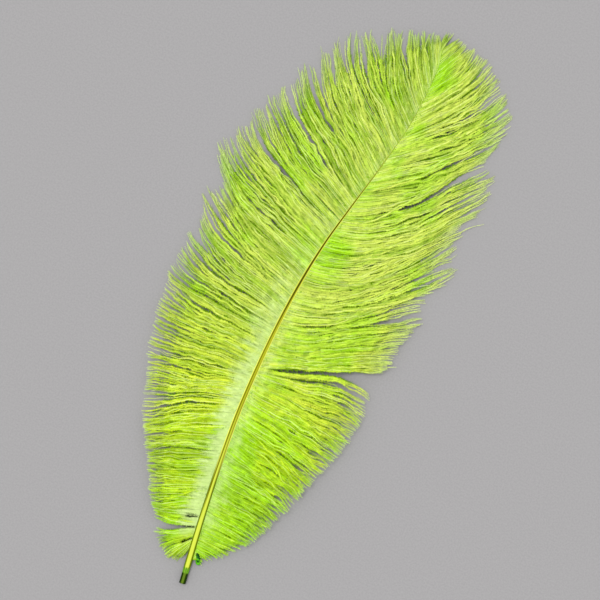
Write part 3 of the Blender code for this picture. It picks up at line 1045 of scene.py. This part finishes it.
BANDS = {
    Side.LEFT: Band(
        Change(5, 7, 110, 170), Change(1.0, 0.26, 92, 242), Change(0, 0.0, 190, 230), Change(0.45, 0, 60, 150)
    ),
    Side.RIGHT: Band(
        Change(3, 4, 110, 170), Change(0.5, 0.13, 92, 242), Change(0, 0.5, 190, 230), Change(0.80, 0, 60, 150)
    ),
}
BAND_START = Change(0, 1, 26, 40)  # how much of the pale band there is, by the height
BAND_BORDER = Change(11, 16, 110, 170)  # millimetres over which it ends, by the height
RICH_END = Change(1, 0, 6, 26)  # how much of the rich dye there is, by the distance from the shaft
HIGH = Change(0, 1, 90, 200)  # how much of the upper vane's softer lime there is, by the height
CLEFT_START = Change(0, 1, 0.8, 1.6)  # how dark a cleft's painted shade is, by the distance from the shaft
CLEFT_END = Change(1, 0, 7, 10)  # and at its other end
UNDER_SHADE_START = Change(0, 1, 7, 16)  # how dark the lower barbs' painted shade is, by the distance from the shaft


@dataclass(frozen=True)
class Fringe:
    """The barbules along a barb: thin blades to both sides that lean forward and hang a little. Changes go by
    the share of the barb's length, unless their comment says otherwise.
    """

    length: float = 1.38
    forward: Change = Change(38, 60, 0.6, 1.0)  # degrees from straight across
    hang: float = 28.0  # degrees
    near: Change = Change(1.05, 1.0, 0, 14)  # share of their length, by the millimetres from the shaft
    bare: Change = Change(0.08, 0.15, 90, 180)  # share that they lack further out, by the height
    bare_start: Change = Change(0, 1, 0.5, 1.0)
    point: Change = Change(1.0, 0.4, 0.93, 1.0)  # share of their length
    full_barb: float = 30.0  # millimetres; barbs that are shorter have shorter barbules
    short_barb: float = 0.5  # and the shortest have this share of them
    uneven_length: float = 0.25  # the usual difference, as a share
    length_limits: Span = (0.4, 1.6)
    uneven_forward: float = 10.0  # degrees
    uneven_hang: float = 14.0
    broad_end: float = 0.75  # up to here a blade stands on two steps of the stem, and then on one
    stem_radius: float = 0.17
    stem_taper: float = 0.6  # share of the radius that is lost at the tip
    stem_places: int = 17
    stem_aside: tuple[float, ...] = (0.0, 0.1, -0.1)  # its sides' places between the points, at -1 and 1
    stem_edge: float = -1.0  # its edge value, which is 0 for the fringe's roots and 1 for its points
    strip: Span = (0.0, 0.8)  # the part of the bake map's width that it takes
    strip_fill: float = 0.44  # share of a barb's strip that the blades of each side take
    strip_margin: float = 0.01  # share of the bake map's height that stays free at each end
    # how far the barbs are mixed towards the painted shade's colour, from 0 to 1
    painted_shade: float = 0.0

    def surface(
        self, barbs: Barbs, shares: Floats, lines: Floats, twist: Floats, plan: Plan, seed: int
    ) -> Surface:
        """The stems and fringes of some barbs.

        Args:
            barbs: the barbs.
            shares: places along them, one for each barbule and one more.
            lines: their stems at those places.
            twist: how far the fringe rolls round the stem at each place, in radians.
            plan: lays them over the solid.
            seed: for the barbules' small differences.

        Returns:
            One surface.
        """
        along = unit(np.gradient(lines, axis=1))
        level = unit(np.cross(along, UP))
        above = np.cross(level, along)
        twist = twist[:, :, None]
        across = level * np.cos(twist) + above * np.sin(twist)
        axes = (along, across, np.cross(across, along))
        blades = self.blades(barbs, shares, lines, axes, plan, np.random.default_rng(seed))
        return blades.joined(self.stems(barbs, lines, axes, plan)) if self.stem_radius else blades

    def marks(self, barbs: Barbs, lines: Floats) -> tuple[Floats, Floats]:
        """How pale and how dark the barbs are at each place. They are palest beside the lower shaft, and
        below 0 beside the upper shaft on the right, where the dye is richer. Their dark is painted shade,
        only where they cross a cleft or lie under others.
        """
        away = np.linalg.norm(lines[:, :, :2] - barbs.roots[:, None, :2], axis=2)
        y = barbs.roots[:, 1][:, None]
        band = BANDS[barbs.side]
        reach = band.reach.at(y) + barbs.bands[:, None]
        border = Change(1, 0, reach, reach + BAND_BORDER.at(y))
        pale = band.pale.at(y) * BAND_START.at(y) * border.at(away) - band.rich.at(y) * RICH_END.at(away)
        cleft = barbs.clefts[:, None] * CLEFT_START.at(away) * CLEFT_END.at(away)
        return pale, np.clip(cleft, self.painted_shade * UNDER_SHADE_START.at(away), 1)

    def values(self, barbs: Barbs, pale: Floats, cleft: Floats, edge: Floats) -> dict[str, Floats]:
        """The named values that the finish reads.

        Args:
            barbs: the barbs.
            pale: how pale each of their points is.
            cleft: how dark its painted shade is.
            edge: 1 for the barbules' points, 0 for the line that they stand on and less for the stem.

        Returns:
            A value of each name for each point.
        """
        count, width = pale.shape
        ys = barbs.roots[:, 1]
        rows = {
            "tint": barbs.tints,
            "hue": barbs.hues,
            "stem_highlight": barbs.stem_highlights,
            "green": BANDS[barbs.side].green.at(ys),
            "high": HIGH.at(ys),
        }
        values = {name: np.repeat(row, width) for name, row in rows.items()}
        return {"edge": np.tile(edge, count), "pale": pale.ravel(), "cleft": cleft.ravel(), **values}

    def blades(
        self,
        barbs: Barbs,
        shares: Floats,
        lines: Floats,
        axes: tuple[Floats, Floats, Floats],
        plan: Plan,
        rng: np.random.Generator,
    ) -> Surface:
        """Barbules as triangles: each stands on a step or two of the stem, and its point is out to the side
        by its length, forward by its lean and down by its hang.

        Args:
            barbs: the barbs.
            shares: places along them.
            lines: their stems at those places.
            axes: the ways along, across and up from the fringe at each place.
            plan: lays them over the solid.
            rng: draws the barbules' small differences.

        Returns:
            One surface.
        """
        count, points = lines.shape[:2]
        steps = points - 1
        along, across, up = (axis[:, :-1] for axis in axes)
        middle = (lines[:, :-1] + lines[:, 1:]) / 2
        t = (shares[:-1] + shares[1:]) / 2
        size = self.sizes(barbs, t)
        tips = []
        for hand in (-1, 1):
            length = size * rng.normal(1, self.uneven_length, (count, steps)).clip(*self.length_limits)
            forward = np.radians(self.forward.at(t) + rng.normal(0, self.uneven_forward, (count, steps)))
            hang = np.radians(self.hang + rng.normal(0, self.uneven_hang, (count, steps)))
            out = hand * across * (np.cos(forward) * np.cos(hang))[:, :, None]
            lean = along * (np.sin(forward) * np.cos(hang))[:, :, None]
            down = -up * np.sin(hang)[:, :, None]
            tips.append(middle + length[:, :, None] * (out + lean + down))
        world = np.concatenate([lines, *tips], 1)
        world[:, :, 2] = np.maximum(world[:, :, 2], BLADE_FLOOR)
        width = points + 2 * steps
        base = (np.arange(count) * width)[:, None]
        step = np.arange(steps)
        ahead = np.minimum(step + np.where(t < self.broad_end, 2, 1), steps)
        left = np.stack(np.broadcast_arrays(base + step, base + points + step, base + ahead), -1)
        right = np.stack(np.broadcast_arrays(base + step, base + ahead, base + points + steps + step), -1)
        edge = np.hstack([np.zeros(points), np.ones(2 * steps)])
        aside = np.hstack([np.zeros(points), -np.ones(steps), np.ones(steps)])
        pale, cleft = (np.hstack([value, value[:, :-1], value[:, :-1]]) for value in self.marks(barbs, lines))
        return Surface(
            plan.world(world.reshape(-1, 3)),
            np.vstack([left.reshape(-1, 3), right.reshape(-1, 3)]),
            self.places(count, aside, np.hstack([shares, t, t])),
            self.values(barbs, pale, cleft, edge),
        )

    def sizes(self, barbs: Barbs, t: Floats) -> Floats:
        """Millimetres that the barbules are long, before their own differences, for each barb and place."""
        lengths = barbs.lengths()
        bare = self.bare.at(barbs.roots[:, 1])[:, None]
        full = barbs.fullness * np.clip(lengths / self.full_barb, self.short_barb, 1)
        size = self.length * (1 - bare * self.bare_start.at(t)) * self.near.at(t * lengths[:, None])
        return size * self.point.at(t) * full[:, None]

    def places(self, count: int, aside: Floats, share: Floats) -> Floats:
        """A strip of the bake map for each barb: aside is from -1 to 1 across it, and share along it."""
        low, high = self.strip
        across = low + (high - low) * (np.arange(count)[:, None] + 0.5 + self.strip_fill * aside) / count
        along = self.strip_margin + (1 - 2 * self.strip_margin) * share
        return np.stack([across, np.broadcast_to(along, across.shape)], -1).reshape(-1, 2)

    def stems(
        self, barbs: Barbs, lines: Floats, axes: tuple[Floats, Floats, Floats], plan: Plan
    ) -> Surface:
        """Stems as thin tapering tubes: a ring of points round the line at each place."""
        sides = len(self.stem_aside)
        picks = np.linspace(0, lines.shape[1] - 1, self.stem_places).round().astype(int)
        _, across, up = (axis[:, picks, None] for axis in axes)
        share = np.linspace(0, 1, self.stem_places)
        radius = self.stem_radius * (1 - self.stem_taper * share**2)
        turn = np.pi / 2 + 2 * np.pi * np.arange(sides) / sides
        ring = (np.cos(turn)[:, None] * across + np.sin(turn)[:, None] * up) * radius[:, None, None]
        world = lines[:, picks, None] + ring
        count = len(lines)
        width = self.stem_places * sides
        triangles = (np.arange(count) * width)[:, None, None] + grid_triangles(self.stem_places, sides, True)
        aside = np.tile(np.array(self.stem_aside), self.stem_places)
        pale, cleft = (np.repeat(value[:, picks], sides, axis=1) for value in self.marks(barbs, lines))
        return Surface(
            plan.world(world.reshape(-1, 3)),
            triangles.reshape(-1, 3),
            self.places(count, aside, np.repeat(share, sides)),
            self.values(barbs, pale, cleft, np.full(width, self.stem_edge)),
        )


@dataclass(frozen=True)
class Undercoat:
    """Barbs under some of the others, coloured deep green with painted shade, which show dark through the
    slits.
    """

    fringe: Fringe = Fringe(
        length=2.0, forward=Change(32, 62, 0.6, 1.0), hang=8.0, stem_radius=0.0, strip=(0.8, 1.0),
        painted_shade=0.27,
    )
    each: int = 3  # one barb in so many has one under it
    places: int = 90
    extent: Span = (0.01, 0.88)  # shares of the upper barb's length from which and to which it runs
    depth: float = 1.5  # millimetres that it lies lower
    band: float = 3.0  # millimetres by which its pale band is narrower
    least_fullness: float = 0.9
    # the darkest tone, as painted shade
    tint: float = -1.0

    def surface(self, barbs: Barbs, sway: Ripples, ruffle: Ripples, plan: Plan, seed: int) -> Surface:
        """The barbs under those of one piece."""
        some = barbs.part(np.arange(len(barbs.roots)) % self.each == 0)
        some = replace(
            some,
            rises=some.rises - self.depth,
            tints=np.full_like(some.tints, self.tint),
            stem_highlights=np.zeros_like(some.stem_highlights),
            bands=some.bands - self.band,
            fullness=np.maximum(some.fullness, self.least_fullness),
        )
        shares = np.linspace(*self.extent, self.places + 1)
        lines = some.lines(shares, None, sway, ruffle)
        return self.fringe.surface(some, shares, lines, np.zeros(lines.shape[:2]), plan, seed)


class Stretch(NamedTuple):
    """A stretch of a vane that is one piece."""

    name: str
    end: float  # height at which it ends on the shaft
    places: int  # barbules on each side of a barb


STRETCHES = (
    Stretch("base", 62, 130),
    Stretch("lower", 130, 220),
    Stretch("middle", 205, 310),
    Stretch("upper", 285, 370),
    Stretch("tip", 400, 240),
)


@dataclass(frozen=True)
class Vanes:
    """Both vanes, each in a few pieces along the shaft."""

    finish: BarbFinish
    fringe: Fringe
    under: Undercoat
    vanes: tuple[Vane, ...] = (
        Vane(
            Side.LEFT, LEFT_LOCKS, LEFT_LEANS, LEFT_ENDS, LEFT_LIFTS, 24.5, 11,
            spacings=readings(
                (24, 0.22), (29, 0.15), (34, 0.16), (36, 0.42), (60, 0.48), (140, 0.50), (200, 0.52),
                (377, 0.62),
            ),
            strands=readings((20, 2.4), (130, 2.6), (190, 4.2), (377, 3.8)),
            looseness=readings((20, 0.4), (45, 0.05), (115, 0.08), (165, 0.45), (195, 0.62), (377, 0.55)),
            fluff=readings((24, 0.3), (50, 0.4), (110, 0.25), (150, 0.1), (377, 0.05)),
            tone_and_painted_light=Change(0.03, -0.07, 180, 220),
            clefts=(30.0, 36.0, 42.8),
        ),
        Vane(
            Side.RIGHT, RIGHT_LOCKS, RIGHT_LEANS, RIGHT_ENDS, RIGHT_LIFTS, 16.8, 23,
            spacings=readings(
                (17, 0.26), (32, 0.34), (50, 0.46), (100, 0.50), (118, 0.42), (142, 0.38), (146, 0.32),
                (158, 0.34), (166, 0.50), (200, 0.53), (377, 0.65),
            ),
            strands=readings((20, 2.4), (130, 2.6), (190, 3.6), (377, 3.0)),
            looseness=readings(
                (20, 0.4), (45, 0.05), (125, 0.08), (143.6, 0.25), (143.9, 0.5), (200, 0.6), (250, 0.45),
                (300, 0.25), (377, 0.18),
            ),
            fluff=readings((17, 0.9), (50, 0.8), (100, 0.5), (140, 0.15), (377, 0.05)),
            # Painted light: the right vane is lighter to make up for the key light that its slope turns away
            tone_and_painted_light=Change(0.12, 0.20, 80, 140),
        ),
    )
    # The usual size of each field, and the millimetres along the shaft and along a barb over which it changes
    slits: tuple[float, float, float] = (0.43, 0.6, 2.5)  # millimetres aside
    sway: tuple[float, float, float] = (0.9, 4.0, 14.0)  # millimetres aside
    ruffle: tuple[float, float, float] = (0.45, 0.8, 2.8)  # millimetres up
    roll: tuple[float, float, float] = (0.45, 0.4, 5.0)  # radians
    seeds: int = 10  # times a vane's own seed, this is the first seed of its ripples and pieces

    def build(self, plan: Plan) -> list[bpy.types.Object]:
        """Makes the pieces of both sides."""
        material = self.finish.material()
        made = []
        for vane in self.vanes:
            seeds = itertools.count(self.seeds * vane.seed)
            sizes = (self.slits, self.sway, self.ruffle, self.roll)
            slits, sway, ruffle, roll = [Ripples(next(seeds), *size) for size in sizes]
            every = vane.barbs()
            ys = every.roots[:, 1]
            start = 0.0
            for stretch, seed in zip(STRETCHES, seeds):
                barbs = every.part((ys >= start) & (ys < stretch.end))
                shares = np.linspace(0, 1, stretch.places + 1)
                lines = barbs.lines(shares, slits, sway, ruffle)
                twist = roll.at(barbs.roots[:, 1], shares * barbs.lengths()[:, None])
                upper = self.fringe.surface(barbs, shares, lines, twist, plan, seed)
                lower = self.under.surface(barbs, sway, ruffle, plan, seed + len(STRETCHES))
                name = f"{vane.side.name.lower()}_barbs_{stretch.name}"
                made.append(upper.joined(lower).piece(name, material))
                start = stretch.end
        return made


# ---------------------------------------------------------------- the shaft


def tube(
    plan: Plan, stations: tuple[Station, ...], rings: int, around: int, dents: Floats, ends: Floats
) -> Surface:
    """A closed tube: a ring round a smooth middle line at each place, and a fan over each end.

    Args:
        plan: lays it over the solid.
        stations: its middle line and radius.
        rings: places along it.
        around: points in a ring.
        dents: for each ring and point, the share of the radius that is left.
        ends: for each ring, the share of the radius that is left.

    Returns:
        The surface, with the way round and the way along as its bake map.
    """
    ys = np.linspace(stations[0].y, stations[-1].y, rings)
    x, height, radius = smooth(stations, ys).T
    line = np.stack([x, ys, height], 1)
    along = unit(np.gradient(line, axis=0))
    across = unit(np.cross(along, UP))
    up = np.cross(across, along)
    turn = 2 * np.pi * np.arange(around) / around
    size = (radius * ends)[:, None] * dents
    ring = np.cos(turn)[None, :, None] * across[:, None] + np.sin(turn)[None, :, None] * up[:, None]
    wall = line[:, None] + size[:, :, None] * ring
    points = np.vstack([wall.reshape(-1, 3), line[:1], line[-1:]])
    points[:, 2] = np.maximum(points[:, 2], 0.0)
    here = np.arange(around)
    beside = (here + 1) % around
    first, last = len(points) - 2, len(points) - 1
    end = (rings - 1) * around
    caps = np.vstack(
        [
            np.stack([np.full_like(here, first), beside, here], 1),
            np.stack([np.full_like(here, last), end + here, end + beside], 1),
        ]
    )
    places = np.stack([np.tile(turn / (2 * np.pi), rings), np.repeat(np.linspace(0, 1, rings), around)], 1)
    places = np.vstack([places, (0.5, 0.0), (0.5, 1.0)])
    return Surface(plan.world(points), np.vstack([grid_triangles(rings, around, True), caps]), places, {})


@dataclass(frozen=True)
class Shaft:
    """The horny shaft, a tapering tube with a shallow groove along its top."""

    finish: HornFinish
    rings: int = 300
    around: int = 32
    groove: Change = Change(0.0, 0.16, 40, 100)  # its depth as a share of the radius
    groove_width: float = 0.45  # radians
    quill: Change = Change(0.94, 1.0, 7.0, 10.0)  # share of the radius that the cut quill has below the horn

    def build(self, plan: Plan) -> bpy.types.Object:
        """Makes the shaft, pressed in along its top and a little narrower at the cut quill."""
        ys = np.linspace(SHAFT_LINE[0].y, SHAFT_LINE[-1].y, self.rings)
        turn = 2 * np.pi * np.arange(self.around) / self.around
        dents = 1 - self.groove.at(ys)[:, None] * np.exp(-(((turn - np.pi / 2) / self.groove_width) ** 2))
        surface = tube(plan, SHAFT_LINE, self.rings, self.around, dents, self.quill.at(ys))
        return surface.piece("shaft", self.finish.material())


@dataclass(frozen=True)
class Stub:
    """The small stub that leans out beside the quill, rounded at both ends."""

    finish: StubFinish
    rings: int = 40
    around: int = 24
    knobs: float = 0.10  # share of the radius by which its side is uneven
    knobs_around: int = 2
    knobs_along: float = 1.5
    knobs_twist: float = 7.0  # radians that they turn from end to end
    bluntness: int = 5  # the higher, the blunter its ends
    end_size: float = 0.1  # share of the radius at its very ends

    def build(self, plan: Plan) -> bpy.types.Object:
        """Makes the stub, with sqrt(1 - |2t - 1|^bluntness) of its radius at t from 0 to 1 and low waves."""
        t = np.linspace(0, 1, self.rings)
        turn = 2 * np.pi * np.arange(self.around) / self.around
        waves = np.sin(self.knobs_around * turn[None, :] + self.knobs_twist * t[:, None])
        dents = 1 + self.knobs * waves * np.sin(2 * np.pi * self.knobs_along * t)[:, None]
        ends = np.sqrt(np.clip(1 - np.abs(2 * t - 1) ** self.bluntness, self.end_size**2, 1))
        surface = tube(plan, STUB_LINE, self.rings, self.around, dents, ends)
        return surface.piece("stub", self.finish.material())


# ---------------------------------------------------------------- the studio


@dataclass(frozen=True)
class Studio:
    """A pale sheet, soft light from the photograph's upper left and a camera that looks straight down."""

    finish: FloorFinish
    floor_size: float = 6.0
    view_x: float = -9.84  # the point of the plan in the middle of the view
    view_y: float = 192.8
    turn: float = 25.2436  # degrees that the feather leans in the view
    field: float = 0.378  # what the view takes in at the floor
    distance: float = 1.7
    sensor: float = 36.0
    far: float = 20.0  # metres that the camera sees
    key_power: float = 1.72
    key_width: float = 24.0  # degrees of the sky that the key light fills
    key_rise: float = 74.0  # degrees above the floor
    key_heading: float = 135.0  # degrees round from the view's right
    sky: float = 0.90

    def build(self, plan: Plan) -> None:
        """Puts up the floor, the lights and the camera."""
        bpy.ops.mesh.primitive_plane_add(size=self.floor_size)
        floor = bpy.context.object
        floor.name = "floor"
        floor.data.materials.append(self.finish.material())
        self.light()
        self.camera(plan)

    def light(self) -> None:
        """A wide soft light from the view's upper left, and an even pale sky."""
        rise = math.radians(self.key_rise)
        heading = math.radians(self.key_heading + self.turn)
        lamp = bpy.data.lights.new("key", "SUN")
        lamp.energy = self.key_power
        lamp.angle = math.radians(self.key_width)
        key = bpy.data.objects.new("key", lamp)
        key.location = (
            math.cos(rise) * math.cos(heading),
            math.cos(rise) * math.sin(heading),
            math.sin(rise),
        )
        key.rotation_mode = "QUATERNION"
        key.rotation_quaternion = key.location.to_track_quat("Z", "Y")
        bpy.context.scene.collection.objects.link(key)
        world = bpy.data.worlds.new("soft_sky")
        world.use_nodes = True
        background = world.node_tree.nodes["Background"]
        background.inputs["Color"].default_value = (1.0, 1.0, 1.0, 1.0)
        background.inputs["Strength"].default_value = self.sky
        bpy.context.scene.world = world

    def camera(self, plan: Plan) -> None:
        """A long lens straight above the middle of the view."""
        lens = bpy.data.cameras.new("camera")
        lens.sensor_width = self.sensor
        lens.lens = self.sensor * self.distance / self.field
        lens.clip_end = self.far
        camera = bpy.data.objects.new("camera", lens)
        camera.location = plan.world(np.array((self.view_x, self.view_y, self.distance / MM)))
        camera.rotation_euler = (0.0, 0.0, math.radians(self.turn))
        bpy.context.scene.collection.objects.link(camera)
        bpy.context.scene.camera = camera
        bpy.context.scene.view_settings.view_transform = "Standard"


def main() -> None:
    """Builds the feather and the studio."""
    logging.basicConfig(level=logging.INFO, format="%(name)s: %(message)s")
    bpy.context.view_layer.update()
    plan = Plan.over(NODE)
    Vanes(BarbFinish(), Fringe(), Undercoat()).build(plan)
    Shaft(HornFinish()).build(plan)
    Stub(StubFinish()).build(plan)
    Studio(FloorFinish()).build(plan)


if __name__ == "__main__":
    main()
